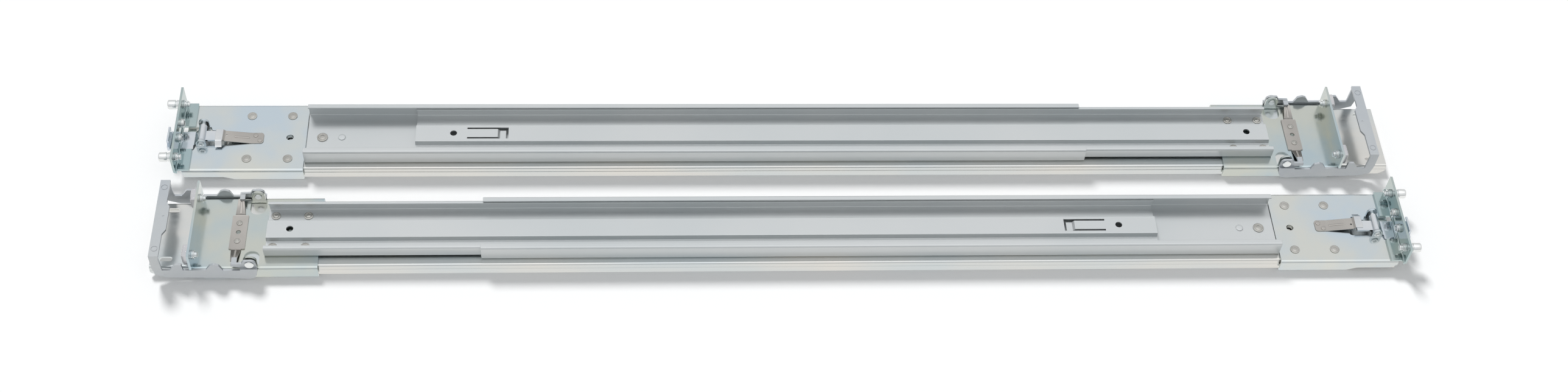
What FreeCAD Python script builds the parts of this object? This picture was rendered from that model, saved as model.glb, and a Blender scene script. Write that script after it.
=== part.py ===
import FreeCAD, Part
import math
import os
import re
import Sketcher

# A pair of sliding rails for a rack-mounted server, laid side by side with
# their outboard faces up.  Each rail is written in its own axes: X runs
# rearwards from the back of the front flange, Y runs across the rail and Z
# points outboard, with zero on top of the bracket plates.

doc = FreeCAD.newDocument("server_rail_pair")
sizes = doc.addObject("Spreadsheet::Sheet", "Sizes")

SIZES = [
    # layout of the pair
    ("half_length", 398.455), ("rail_offset", 39.225), ("floor_height", 9.5),
    ("rear_shift", 7.73),
    # sheet thicknesses
    ("sheet", 1.5), ("thin", 1.1), ("rear_sheet", 1.4), ("spring_sheet", 0.6),
    # outer member of the slide
    ("outer_front", 3.0), ("outer_rear", 804.4), ("outer_half", 25.4),
    ("outer_bulge", 25.8), ("outer_inner", 24.2), ("outer_groove", 24.65),
    ("outer_top", -1.5), ("slide_bottom", -9.5),
    ("slot_x", 794.6), ("slot_y", 19.2), ("slot_half", 2.2), ("slot_r", 1.8),
    # ball tracks
    ("ball_r", 2.0), ("ball_y", 22.55), ("ball_z", -6.4), ("track_half", 1.4),
    ("small_ball_r", 1.5), ("small_ball_y", 18.05), ("small_ball_z", -7.5),
    ("small_track_half", 1.1),
    # sliding members
    ("member_front", 5.0), ("member_rear", 745.0),
    ("middle_top", -3.8), ("middle_web", -5.1), ("middle_bottom", -9.3),
    ("middle_half", 20.9), ("middle_inner", 19.2), ("track_depth", 0.45),
    ("inner_half", 16.9), ("inner_inner", 15.4), ("inner_top", -6.1),
    ("inner_web", -8.0), ("inner_bottom", -9.4),
    ("cage_front", 190.0), ("cage_rear", 560.0), ("cage_sheet", 0.5),
    ("cage_top", -3.2), ("small_cage_top", -5.35), ("cage_bottom", -8.9),
    ("ball_first", 205.0), ("ball_pitch", 113.0), ("ball_clear", 0.15),
    # release lever on the inner member
    ("release_x", 84.0), ("release_y", -5.0), ("release_pin_r", 2.0),
    ("release_sheet", 1.2), ("running_fit", 0.05),
    # front bracket and its flange
    ("bracket_front", 3.0), ("bracket_rear", 81.0), ("bracket_half", 28.3),
    ("bracket_bottom", -8.7), ("bracket_shallow", -6.4), ("bend_r", 2.0),
    ("flange_height", 15.4), ("flange_half", 30.2), ("foot_length", 8.1),
    ("foot_far", 8.1), ("foot_near", -10.8), ("foot_half", 28.0),
    ("rivet_first_x", 43.8), ("rivet_second_x", 70.3), ("rivet_y", 18.1),
    ("rivet_head_r", 3.1), ("rivet_head", 0.6), ("rivet_shank_r", 2.1),
    ("bracket_hole_x", 70.1), ("bracket_hole_r", 2.25), ("fit", 0.02),
    # rack mounting: pegs, inserts and blocks share one height and pitch
    ("peg_spread", 22.225), ("insert_spread", 6.35), ("mount_z", 7.1),
    ("peg_r", 3.15), ("peg_end", -10.5), ("peg_neck", -5.2),
    ("ring_r", 3.05), ("stub_r", 2.1), ("insert_r", 2.5), ("insert_bore", 1.6),
    # hook at the front
    ("pin_x", 13.8), ("pin_z", 3.6), ("pin_r", 1.5), ("knuckle_r", 2.6),
    ("ear_far", 10.3), ("ear_near", -8.5), ("ear_half", 3.4),
    ("nose_front", -7.5), ("nose_height", 8.0), ("neck_far", 4.9),
    ("neck_near", -9.5), ("neck_bottom", -1.5), ("neck_top", -0.3),
    ("tail_end", 26.8), ("tail_low", 2.4), ("tail_high", 3.9),
    ("hook_spring_front", 22.6), ("hook_spring_rear", 53.3),
    ("hook_spring_half", 4.35), ("hook_centre", 1.0),
    # guide channel fixed to the outer member
    ("guide_front", 81.3), ("guide_rear", 597.5), ("guide_half", 20.9),
    ("guide_top", 9.8), ("guide_lip", 17.0), ("guide_rivet_x", 91.2),
    ("guide_dimple_x", 103.9), ("channel_bend", 1.5),
    # extension channel that sets the rail depth
    ("ext_front", 152.5), ("ext_rear", 725.6), ("ext_half", 19.1),
    ("ext_top", 8.4), ("ext_lip", 16.4), ("band_top", 4.05),
    ("band_half", 6.9), ("band_foot", 7.9), ("ext_hole_r", 2.25),
    ("ext_hole_front", 177.3), ("ext_hole_rear", 711.2),
    ("tab_start", 186.3), ("tab_end", 211.7), ("tab_half", 3.4),
    ("tab_slit", 4.7), ("tab_slit_end", 213.4),
    ("ext_rivet_front", 700.75), ("ext_rivet_rear", 721.2),
    ("ext_rivet_y", 12.25), ("ext_rivet_head", 0.9),
    # rear bracket, flange and blocks
    ("rear_start", 692.0), ("rear_end", 770.5), ("rear_flange_half", 30.3),
    ("rear_overhang", 1.7), ("block_size", 9.0), ("block_end", 774.8),
    # gate at the rear
    ("gate_x", 733.3), ("gate_z", 5.0), ("gate_pin_r", 1.6),
    ("gate_inner", 28.7), ("gate_ear_low", 25.0), ("gate_ear_high", 26.4),
    ("gate_rear", 793.4), ("gate_bar_low", 14.7), ("gate_spring_sheet", 0.8),
    ("gate_spring_front", 738.5), ("gate_spring_rear", 748.5),
    ("gate_spring_half", 13.2), ("gate_spring_tip", 24.6),
    ("gate_rivet_x", 743.75), ("gate_rivet_y", 7.1),
]

for row, (name, value) in enumerate(SIZES, start=1):
    sizes.set("A%d" % row, name.replace("_", " "))
    sizes.set("B%d" % row, str(value))
    sizes.setAlias("B%d" % row, name)
doc.recompute()

NAMES = set(name for name, value in SIZES)


def ex(text):
    """Expression text with every named size looked up in the sheet."""
    def swap(match):
        word = match.group(0)
        return "Sizes." + word if word in NAMES else word
    return re.sub(r"[a-z][a-z0-9_]*", swap, str(text))


def number(text):
    """Present value of an expression."""
    return float(sizes.evalExpression(ex(text)))


def bind(owner, path, text):
    owner.setExpression(path, ex(text))


def add_loop(sketch, tag, corners):
    """Closed outline through (u, v) or (u, v, radius) corners."""
    spots = [FreeCAD.Vector(number(c[0]), number(c[1]), 0) for c in corners]
    radii = [number(c[2]) if len(c) > 2 else 0.0 for c in corners]
    count = len(corners)
    starts = []
    ends = []
    arcs = {}
    for i in range(count):
        back = (spots[i - 1] - spots[i]).normalize()
        ahead = (spots[(i + 1) % count] - spots[i]).normalize()
        if radii[i] == 0.0:
            ends.append(spots[i])
            starts.append(spots[i])
            continue
        half = back.getAngle(ahead) / 2
        reach = radii[i] / math.tan(half)
        centre = spots[i] + (back + ahead).normalize() * (radii[i] / math.sin(half))
        first = spots[i] + back * reach
        last = spots[i] + ahead * reach
        ends.append(first)
        starts.append(last)
        forward = back.cross(ahead).z < 0
        one, two = (first, last) if forward else (last, first)
        angle_one = math.atan2(one.y - centre.y, one.x - centre.x)
        angle_two = math.atan2(two.y - centre.y, two.x - centre.x)
        circle = Part.Circle(centre, FreeCAD.Vector(0, 0, 1), radii[i])
        arcs[i] = (Part.ArcOfCircle(circle, angle_one, angle_two), forward)
    lines = []
    for i in range(count):
        line = Part.LineSegment(starts[i], ends[(i + 1) % count])
        lines.append(sketch.addGeometry(line))
    rules = []
    labels = []

    def rule(label, text, *data):
        rules.append(Sketcher.Constraint(*data))
        labels.append((label, text))

    for i in range(count):
        before = lines[i - 1]
        after = lines[i]
        if i in arcs:
            arc, forward = arcs[i]
            bend = sketch.addGeometry(arc)
            point = sketch.addGeometry(Part.Point(spots[i]), True)
            near, far = (1, 2) if forward else (2, 1)
            rule("", "", "Tangent", before, 2, bend, near)
            rule("", "", "Tangent", after, 1, bend, far)
            rule("", "", "PointOnObject", point, 1, before)
            rule("", "", "PointOnObject", point, 1, after)
            rule("r", corners[i][2], "Radius", bend, radii[i])
            held, place = point, 1
        else:
            rule("", "", "Coincident", before, 2, after, 1)
            held, place = after, 1
        rule("u", corners[i][0], "DistanceX", -1, 1, held, place, spots[i].x)
        rule("v", corners[i][1], "DistanceY", -1, 1, held, place, spots[i].y)
    first_rule = sketch.ConstraintCount
    sketch.addConstraint(rules)
    for i, (label, text) in enumerate(labels):
        if label:
            name = "%s_%s%d" % (tag, label, i)
            sketch.renameConstraint(first_rule + i, name)
            bind(sketch, "Constraints." + name, text)


def add_circle(sketch, tag, u, v, r):
    """Circle held by its centre and radius."""
    centre = FreeCAD.Vector(number(u), number(v), 0)
    ring = sketch.addGeometry(Part.Circle(centre, FreeCAD.Vector(0, 0, 1), number(r)))
    for label, text, data in (
        ("u", u, ("DistanceX", -1, 1, ring, 3, centre.x)),
        ("v", v, ("DistanceY", -1, 1, ring, 3, centre.y)),
        ("r", r, ("Radius", ring, number(r))),
    ):
        index = sketch.addConstraint(Sketcher.Constraint(*data))
        sketch.renameConstraint(index, "%s_%s" % (tag, label))
        bind(sketch, "Constraints.%s_%s" % (tag, label), text)


def new_sketch(body, name, plane, start):
    """Sketch on a plane of the body; the XZ plane looks towards minus Y."""
    sketch = body.newObject("Sketcher::SketchObject", name)
    support = [f for f in body.Origin.OriginFeatures if f.Role == plane][0]
    sketch.AttachmentSupport = (support, [""])
    sketch.MapMode = "FlatFace"
    depth = "-(%s)" % start if plane == "XZ_Plane" else start
    bind(sketch, "AttachmentOffset.Base.z", depth)
    return sketch


def sweep(body, sketch, name, length, cut):
    kind = "PartDesign::Pocket" if cut else "PartDesign::Pad"
    feature = body.newObject(kind, name)
    feature.Profile = sketch
    feature.Reversed = cut
    bind(feature, "Length", length)
    body.Tip = feature
    return feature


def prism(body, name, plane, start, length, corners, cut=False):
    """Pad or pocket of one outline, from start along the plane's normal."""
    sketch = new_sketch(body, name + "_outline", plane, start)
    add_loop(sketch, "a", corners)
    return sweep(body, sketch, name, length, cut)


def box_corners(u_low, u_high, v_low, v_high):
    return [(u_low, v_low), (u_high, v_low), (u_high, v_high), (u_low, v_high)]


def drill(body, name, plane, start, length, rings):
    """Round holes cut from start along the plane's normal."""
    sketch = new_sketch(body, name + "_rings", plane, start)
    for i, (u, v, r) in enumerate(rings):
        add_circle(sketch, "c%d" % i, u, v, r)
    return sweep(body, sketch, name, length, True)


def place(thing, x="0", y="0", z="0"):
    """Put an object in the pair's frame, given its place in the rail's axes."""
    bind(thing, "Placement.Base.x", "(%s) - half_length" % x)
    bind(thing, "Placement.Base.y", "(%s) + rail_offset" % y)
    bind(thing, "Placement.Base.z", "(%s) + floor_height" % z)


def new_body(name):
    body = doc.addObject("PartDesign::Body", name)
    place(body)
    return body


TURNS = {
    "x": FreeCAD.Rotation(FreeCAD.Vector(0, 1, 0), 90),
    "y": FreeCAD.Rotation(FreeCAD.Vector(1, 0, 0), -90),
    "z": FreeCAD.Rotation(),
}


def turned(name, axis, spot, steps):
    """Cylinders in a row along one axis; steps are (start, end, radius)."""
    pieces = []
    for i, (start, end, r) in enumerate(steps):
        rod = doc.addObject("Part::Cylinder", "%s_step%d" % (name, i))
        rod.Placement.Rotation = TURNS[axis]
        bind(rod, "Radius", r)
        bind(rod, "Height", "(%s) - (%s)" % (end, start))
        where = {"x": start if axis == "x" else spot[0],
                 "y": start if axis == "y" else spot[-1] if axis == "x" else spot[1],
                 "z": start if axis == "z" else spot[-1]}
        if axis == "x":
            where["y"] = spot[0]
            where["z"] = spot[1]
        place(rod, where["x"], where["y"], where["z"])
        pieces.append(rod)
    return pieces


def fused(name, pieces, tools=()):
    """One object from several solids, less the tools."""
    whole = doc.addObject("Part::MultiFuse", name + "_joined" if tools else name)
    whole.Shapes = list(pieces)
    if not tools:
        return whole
    cutter = doc.addObject("Part::MultiFuse", name + "_cutter")
    cutter.Shapes = list(tools)
    cut = doc.addObject("Part::Cut", name)
    cut.Base = whole
    cut.Tool = cutter
    return cut


nodes = {}
SIDES = (1, -1)

# ---------------------------------------------------------------- the slide
# Outer member: an open channel with ball tracks rolled into its walls.
outer = new_body("outer_member")
half = [
    ("outer_half", "outer_top", "sheet"),
    ("outer_half", "ball_z + track_half + 0.7"),
    ("outer_bulge", "ball_z + track_half"),
    ("outer_bulge", "slide_bottom"),
    ("outer_inner", "slide_bottom"),
    ("outer_inner", "ball_z - track_half"),
    ("outer_groove", "ball_z - track_half"),
    ("outer_groove", "ball_z + track_half"),
    ("outer_inner", "ball_z + track_half"),
    ("outer_inner", "outer_top - sheet"),
]


def both_halves(corners):
    """Outline made symmetrical about the rail's middle plane."""
    other = [("-(%s)" % c[0],) + c[1:] for c in reversed(corners)]
    return list(corners) + other


prism(outer, "outer_section", "YZ_Plane", "outer_front",
      "outer_rear - outer_front", both_halves(half))
prism(outer, "outer_neck_notch", "XY_Plane", "outer_top - sheet - 0.5", "sheet + 1",
      box_corners("outer_front - 1", "11.5", "neck_near - 0.4", "neck_far + 0.4"), True)
for side in SIDES:
    tag = "far" if side > 0 else "near"
    y = "%d * slot_y" % side
    sketch = new_sketch(outer, "outer_slot_%s_outline" % tag, "XY_Plane",
                        "outer_top - sheet - 0.5")
    add_loop(sketch, "a", [
        ("slot_x - slot_half - slot_r", y + " - slot_r", "slot_r - 0.01"),
        ("slot_x + slot_half + slot_r", y + " - slot_r", "slot_r - 0.01"),
        ("slot_x + slot_half + slot_r", y + " + slot_r", "slot_r - 0.01"),
        ("slot_x - slot_half - slot_r", y + " + slot_r", "slot_r - 0.01"),
    ])
    sweep(outer, sketch, "outer_slot_%s" % tag, "sheet + 1", True)
rivet_spots = [(x, "%d * rivet_y" % side) for side in SIDES
               for x in ("rivet_first_x", "rivet_second_x")]
drill(outer, "outer_rivet_holes", "XY_Plane", "outer_top - sheet - 0.5", "sheet + 1",
      [(x, y, "rivet_shank_r + fit") for x, y in rivet_spots]
      + [("guide_rivet_x", "0", "rivet_shank_r + fit")])
prism(outer, "outer_rear_corners", "XZ_Plane", "outer_bulge + 1",
      "2 * outer_bulge + 2", [
          ("outer_rear + 1", "slide_bottom - 1"), ("outer_rear + 1", "slide_bottom + 3"),
          ("outer_rear", "slide_bottom + 3"), ("outer_rear - 4", "slide_bottom"),
          ("outer_rear - 4", "slide_bottom - 1")], True)
nodes["outer_member"] = outer

# Middle member: a channel inside the first, tracked on both faces of each wall.
middle = new_body("middle_member")
half = [
    ("middle_half", "middle_top", "0.8"),
    ("middle_half", "ball_z + track_half"),
    ("middle_half - track_depth", "ball_z + track_half"),
    ("middle_half - track_depth", "ball_z - track_half"),
    ("middle_half", "ball_z - track_half"),
    ("middle_half", "middle_bottom"),
    ("middle_inner", "middle_bottom"),
    ("middle_inner", "small_ball_z - small_track_half"),
    ("middle_inner + track_depth", "small_ball_z - small_track_half"),
    ("middle_inner + track_depth", "small_ball_z + small_track_half"),
    ("middle_inner", "small_ball_z + small_track_half"),
    ("middle_inner", "middle_web"),
]
prism(middle, "middle_section", "YZ_Plane", "member_front",
      "member_rear - member_front", both_halves(half))
nodes["middle_member"] = middle

# Inner member: a shallow channel turned the other way, which carries the load.
inner = new_body("inner_member")
half = [
    ("inner_half", "inner_bottom", "0.5"),
    ("inner_half", "small_ball_z - small_track_half"),
    ("inner_half - track_depth", "small_ball_z - small_track_half"),
    ("inner_half - track_depth", "small_ball_z + small_track_half"),
    ("inner_half", "small_ball_z + small_track_half"),
    ("inner_half", "inner_top"),
    ("inner_inner", "inner_top"),
    ("inner_inner", "inner_web"),
]
prism(inner, "inner_section", "YZ_Plane", "member_front",
      "member_rear - member_front", both_halves(half))
sketch = new_sketch(inner, "inner_post_ring", "XY_Plane", "inner_web - 0.2")
add_circle(sketch, "c", "release_x", "release_y", "release_pin_r")
sweep(inner, sketch, "inner_post", "release_sheet + 0.7", False)
nodes["inner_member"] = inner

# Ball cages: strips bent over the members with a round hole for each ball.
outer_balls = [("ball_first + %d * ball_pitch" % i) for i in range(4)]
inner_balls = [("ball_first + %d * ball_pitch" % i) for i in range(4)]
for name, y, z, r, top, spots in (
    ("outer_ball_cage", "ball_y", "ball_z", "ball_r", "cage_top", outer_balls),
    ("inner_ball_cage", "small_ball_y", "small_ball_z", "small_ball_r",
     "small_cage_top", inner_balls),
):
    cage = new_body(name)
    half = [
        ("%s + cage_sheet / 2" % y, top, "0.6"),
        ("%s + cage_sheet / 2" % y, "cage_bottom - 0.2"),
        ("%s - cage_sheet / 2" % y, "cage_bottom - 0.2"),
        ("%s - cage_sheet / 2" % y, "%s - 0.4" % top),
    ]
    prism(cage, name + "_section", "YZ_Plane", "cage_front",
          "cage_rear - cage_front", both_halves(half))
    drill(cage, name + "_holes", "XZ_Plane", "%s + 1" % y, "2 * %s + 2" % y,
          [(x, z, "%s + ball_clear" % r) for x in spots])
    nodes[name] = cage
for name, y, z, r, spots in (
    ("outer_balls", "ball_y", "ball_z", "ball_r", outer_balls),
    ("inner_balls", "small_ball_y", "small_ball_z", "small_ball_r", inner_balls),
):
    balls = []
    for side in SIDES:
        for i, x in enumerate(spots):
            ball = doc.addObject("Part::Sphere", "%s_%s%d" % (name, "nf"[side > 0], i))
            bind(ball, "Radius", r)
            place(ball, x, "%d * %s" % (side, y), z)
            balls.append(ball)
    nodes[name] = fused(name, balls)

# Release lever: a flat strip that swings on a post of the inner member.
release = new_body("release_lever")
prism(release, "release_strip", "XY_Plane", "inner_web", "release_sheet", [
    ("release_x + 6", "release_y - 4", "3"), ("release_x + 6", "release_y + 4", "3"),
    ("release_x - 6", "release_y + 4"), ("release_x - 14", "release_y + 2.5"),
    ("release_x - 44", "release_y + 2.5", "1"), ("release_x - 44", "release_y - 2.5", "1"),
    ("release_x - 14", "release_y - 2.5"), ("release_x - 6", "release_y - 4"),
])
drill(release, "release_hole", "XY_Plane", "inner_web - 0.5", "release_sheet + 1",
      [("release_x", "release_y", "release_pin_r + running_fit")])
nodes["release_lever"] = release

# ------------------------------------------------------------ front bracket
# Front bracket: an inverted channel over the outer member, with two ears
# raised beside the hook window.
bracket = new_body("front_bracket")
half = [
    ("bracket_half", "0", "bend_r"),
    ("bracket_half", "bracket_bottom"),
    ("bracket_half - sheet", "bracket_bottom"),
    ("bracket_half - sheet", "outer_top"),
]
prism(bracket, "bracket_section", "YZ_Plane", "bracket_front",
      "bracket_rear - bracket_front", both_halves(half))
for side in SIDES:
    tag = "far" if side > 0 else "near"
    high = "ear_far" if side > 0 else "ear_near + sheet"
    prism(bracket, "bracket_ear_" + tag, "XZ_Plane", high, "sheet", [
        ("pin_x - ear_half", "-sheet / 2"), ("pin_x + ear_half", "-sheet / 2"),
        ("pin_x + ear_half", "pin_z + ear_half", "ear_half - 0.01"),
        ("pin_x - ear_half", "pin_z + ear_half", "ear_half - 0.01")])
prism(bracket, "bracket_hook_window", "XY_Plane", "outer_top - 0.5", "sheet + 0.5", [
    ("bracket_front - 1", "ear_far - sheet"),
    ("pin_x + ear_half + 0.9", "ear_far - sheet", "0.8"),
    ("pin_x + ear_half + 1.9", "6"),
    ("31", "5", "2"),
    ("31", "-6.5", "2"),
    ("pin_x + ear_half + 1.4", "-6.5"),
    ("pin_x + ear_half + 0.9", "ear_near + sheet"),
    ("pin_x - ear_half - 0.4", "ear_near + sheet"),
    ("pin_x - ear_half - 1.8", "foot_near", "1"),
    ("bracket_front - 1", "foot_near")], True)
prism(bracket, "bracket_lower_edge", "XZ_Plane", "bracket_half + 1",
      "2 * bracket_half + 2", [
          ("bracket_front - 1", "bracket_bottom - 1"), ("bracket_front - 1", "-3.4"),
          ("bracket_front", "-3.4"), ("bracket_front + 3.5", "bracket_shallow"),
          ("29", "bracket_shallow", "6"), ("36", "bracket_bottom"),
          ("36", "bracket_bottom - 1")], True)
drill(bracket, "bracket_holes", "XY_Plane", "outer_top - 0.5", "sheet + 1",
      [(x, y, "rivet_shank_r + fit") for x, y in rivet_spots]
      + [("bracket_hole_x", "0", "bracket_hole_r")])
drill(bracket, "bracket_pin_holes", "XZ_Plane", "ear_far + 1", "ear_far - ear_near + 2",
      [("pin_x", "pin_z", "pin_r + fit")])
nodes["front_bracket"] = bracket

# Four rivets that hold the bracket to the outer member.
pieces = []
for i, (x, y) in enumerate(rivet_spots):
    pieces += turned("front_rivet%d" % i, "z", (x, y), [
        ("outer_top - sheet", "0.1", "rivet_shank_r"), ("0", "rivet_head", "rivet_head_r")])
nodes["front_bracket_rivets"] = fused("front_bracket_rivets", pieces)

# Front angle: the upright flange that meets the rack, and its foot.
angle = new_body("front_angle")
prism(angle, "angle_section", "XZ_Plane", "flange_half", "2 * flange_half", [
    ("-sheet", "0", "1.4"), ("foot_length", "0"), ("foot_length", "sheet"),
    ("0", "sheet", "0.8"), ("0", "flange_height"), ("-sheet", "flange_height")])
prism(angle, "angle_foot_window", "XY_Plane", "-0.5", "sheet + 0.5",
      box_corners("0.9", "foot_length + 1", "foot_near", "foot_far"), True)
for side in SIDES:
    tag = "far" if side > 0 else "near"
    low = "foot_half" if side > 0 else "-flange_half - 1"
    high = "flange_half + 1" if side > 0 else "-foot_half"
    prism(angle, "angle_foot_end_" + tag, "XY_Plane", "-0.5", "sheet + 0.5",
          box_corners("0.9", "foot_length + 1", low, high), True)
peg_spots = ["%d * peg_spread" % side for side in SIDES]
insert_spots = ["%d * insert_spread" % side for side in SIDES]
drill(angle, "angle_holes", "YZ_Plane", "-sheet - 1", "sheet + 2",
      [(y, "mount_z", "stub_r + fit") for y in peg_spots]
      + [(y, "mount_z", "insert_r + fit") for y in insert_spots])
nodes["front_angle"] = angle

# Locating pegs: shank, collar and neck in front, swaged ring and stub behind.
pieces = []
for i, y in enumerate(peg_spots):
    pieces += turned("peg%d" % i, "x", (y, "mount_z"), [
        ("peg_end", "peg_end + 0.7", "peg_r - 0.45"), ("peg_end + 0.6", "peg_neck", "peg_r"),
        ("peg_neck - 0.1", "peg_neck + 0.7", "peg_r - 0.6"),
        ("peg_neck + 0.6", "-sheet", "peg_r - 0.1"),
        ("-sheet - 0.1", "3.9", "stub_r"), ("0", "1.8", "ring_r")])
nodes["mounting_pegs"] = fused("mounting_pegs", pieces)

# Threaded inserts between the pegs.
pieces = []
tools = []
for i, y in enumerate(insert_spots):
    pieces += turned("insert%d" % i, "x", (y, "mount_z"), [
        ("-sheet", "0.1", "insert_r"), ("0", "2.4", "ring_r")])
    tools += turned("insert_bore%d" % i, "x", (y, "mount_z"), [("-sheet - 1", "4", "insert_bore")])
nodes["threaded_inserts"] = fused("threaded_inserts", pieces, tools)

# --------------------------------------------------------------- front hook
# Hook pin between the two ears, headed at both ends.
nodes["hook_pin"] = fused("hook_pin", turned("hook_pin", "y", ("pin_x", "pin_z"), [
    ("ear_near - 0.7", "ear_near", "pin_r + 0.8"),
    ("ear_near - 0.1", "ear_far + 0.1", "pin_r"),
    ("ear_far", "ear_far + 0.7", "pin_r + 0.8")]))

# Hook lever and the leaf spring that presses on its tail.  The spring of the
# other rail carries its finger wing on the far side.
hook_nodes = {}
for hand, wing in (("right", -1), ("left", 1)):
    name = hand + "_hook_lever_blank"
    lever = new_body(name)
    prism(lever, name + "_neck", "XZ_Plane", "neck_far", "neck_far - neck_near", [
        ("nose_front", "nose_height", "0.5"), ("nose_front", "neck_bottom", "1.8"),
        ("9.4", "neck_bottom", "2"), ("pin_x", "2.2"), ("12.1", "pin_z"),
        ("8.8", "neck_top", "1"), ("nose_front + 1.5", "neck_top", "0.5"),
        ("nose_front + 1.5", "nose_height", "0.5")])
    prism(lever, name + "_nose_side", "YZ_Plane", "nose_front - 1", "4",
          box_corners("2.4", "neck_far + 1", "neck_top + 0.8", "nose_height + 1"), True)
    prism(lever, name + "_ear_relief", "XY_Plane", "neck_bottom - 0.5", "8",
          box_corners("8.2", "pin_x + 1", "neck_near - 1", "-6.3"), True)
    prism(lever, name + "_nose_step", "XZ_Plane", "neck_near + 0.2", "2.2",
          box_corners("nose_front", "nose_front + 1.5", "neck_bottom + 2", "4"))
    sketch = new_sketch(lever, name + "_knuckle_ring", "XZ_Plane", "6.3")
    add_circle(sketch, "c", "pin_x", "pin_z", "knuckle_r")
    sweep(lever, sketch, name + "_knuckle", "12.6", False)
    prism(lever, name + "_tail", "XZ_Plane", "2.3", "7.6",
          box_corners("pin_x + 1", "tail_end", "tail_low", "tail_high"))
    drill(lever, name + "_bore", "XZ_Plane", "12", "24",
          [("pin_x", "pin_z", "pin_r + running_fit")])

    name = hand + "_hook_spring_blank"
    middle_y = "%d * hook_centre" % wing
    leaf = new_body(name)
    prism(leaf, name + "_leaf", "XZ_Plane", "%s + hook_spring_half" % middle_y,
          "2 * hook_spring_half", [
              ("hook_spring_front", "tail_high"), ("tail_end + 0.5", "tail_high", "0.6"),
              ("30.6", "0", "1.5"), ("hook_spring_rear", "0"),
              ("hook_spring_rear", "spring_sheet"), ("30.9", "spring_sheet", "0.9"),
              ("tail_end + 0.8", "tail_high + spring_sheet", "1.2"),
              ("hook_spring_front", "tail_high + spring_sheet")])
    edge = "%s + %d * hook_spring_half" % (middle_y, wing)
    prism(leaf, name + "_wing", "YZ_Plane", "hook_spring_front + 0.6", "4.6", [
        ("%s - %d * 0.2" % (edge, wing), "tail_high"),
        ("%s - %d * 0.2" % (edge, wing), "tail_high + spring_sheet"),
        ("%s + %d * 0.5" % (edge, wing), "tail_high + spring_sheet"),
        ("%s + %d * 3.9" % (edge, wing), "1.4"),
        ("%s + %d * 3.4" % (edge, wing), "1.0"),
        ("%s + %d * 0.2" % (edge, wing), "tail_high")])
    rivets = [("47.9", "%s - %d * 2.1" % (middle_y, wing)),
              ("50.9", "%s + %d * 1.9" % (middle_y, wing))]
    drill(leaf, name + "_holes", "XY_Plane", "-0.5", "spring_sheet + 1",
          [(x, y, "1.0 + fit") for x, y in rivets])
    pieces = []
    for i, (x, y) in enumerate(rivets):
        pieces += turned("%s_spring_rivet%d" % (hand, i), "z", (x, y), [
            ("0", "spring_sheet + 0.1", "1.0"),
            ("spring_sheet", "spring_sheet + 0.4", "1.6")])
    hook_nodes[hand] = {
        "hook_lever": lever,
        "hook_spring": leaf,
        "hook_spring_rivets": fused(hand + "_hook_spring_rivets_blank", pieces),
    }

# ----------------------------------------------------------- guide channel
# Guide channel riveted on the outer member; its lips hold the extension.
guide = new_body("guide_channel")
half = [
    ("guide_half", "outer_top", "channel_bend"),
    ("guide_half", "guide_top", "channel_bend"),
    ("guide_lip", "guide_top"),
    ("guide_lip", "guide_top - thin"),
    ("guide_half - thin", "guide_top - thin", "0.4"),
    ("guide_half - thin", "outer_top + thin", "0.4"),
]
prism(guide, "guide_section", "YZ_Plane", "guide_front", "guide_rear - guide_front",
      both_halves(half))
sketch = new_sketch(guide, "guide_dimple_ring", "XY_Plane", "outer_top + thin - 0.2")
add_circle(sketch, "c", "guide_dimple_x", "0", "2.4")
sweep(guide, sketch, "guide_dimple", "0.55", False)
drill(guide, "guide_rivet_hole", "XY_Plane", "outer_top - 0.5", "thin + 1",
      [("guide_rivet_x", "0", "rivet_shank_r + fit")])
nodes["guide_channel"] = guide
nodes["guide_channel_rivet"] = fused("guide_channel_rivet", turned(
    "guide_rivet", "z", ("guide_rivet_x", "0"), [
        ("outer_top - sheet", "outer_top + thin + 0.1", "rivet_shank_r"),
        ("outer_top + thin", "outer_top + thin + 0.7", "3.5")]))

# ------------------------------------------------------- extension channel
# Extension channel: slides in the guide and sets the depth of the rail.
extension = new_body("extension_channel")
half = [
    ("band_half", "band_top", "0.5"),
    ("band_foot", "thin", "0.4"),
    ("ext_half - thin", "thin", "0.4"),
    ("ext_half - thin", "ext_top - thin", "0.4"),
    ("ext_lip", "ext_top - thin"),
    ("ext_lip", "ext_top"),
    ("ext_half", "ext_top", "channel_bend"),
    ("ext_half", "0", "channel_bend"),
    ("band_foot - 0.9", "0", "0.4"),
    ("band_half - 0.9", "band_top - thin", "0.4"),
]
prism(extension, "ext_section", "YZ_Plane", "ext_front", "ext_rear - ext_front",
      both_halves(half))
drill(extension, "ext_holes", "XY_Plane", "band_top - thin - 0.5", "thin + 1",
      [("ext_hole_front", "0", "ext_hole_r"), ("ext_hole_rear", "0", "ext_hole_r")])
prism(extension, "ext_tab_slit", "XY_Plane", "band_top - thin - 0.5", "thin + 1", [
    ("tab_start", "tab_half"), ("tab_start", "tab_slit"), ("tab_slit_end", "tab_slit"),
    ("tab_slit_end", "-tab_slit"), ("tab_start", "-tab_slit"), ("tab_start", "-tab_half"),
    ("tab_end - 6", "-tab_half"), ("tab_end - 6", "tab_half")], True)
prism(extension, "ext_tab_end", "XZ_Plane", "tab_half", "2 * tab_half", [
    ("tab_end - 7", "band_top - thin"), ("tab_end - 5.9", "band_top - thin", "0.5"),
    ("tab_end - 4.2", "1.2", "0.5"), ("tab_end", "1.2"), ("tab_end", "1.2 + thin"),
    ("tab_end - 3.9", "1.2 + thin", "0.5"), ("tab_end - 5.4", "band_top", "0.5"),
    ("tab_end - 7", "band_top")])
ext_spots = [(x, "%d * ext_rivet_y" % side) for side in SIDES
             for x in ("ext_rivet_front", "ext_rivet_rear")]
drill(extension, "ext_rivet_holes", "XY_Plane", "-0.5", "thin + 1",
      [(x, y, "rivet_shank_r - 0.2 + fit") for x, y in ext_spots])
nodes["extension_channel"] = extension
pieces = []
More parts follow.
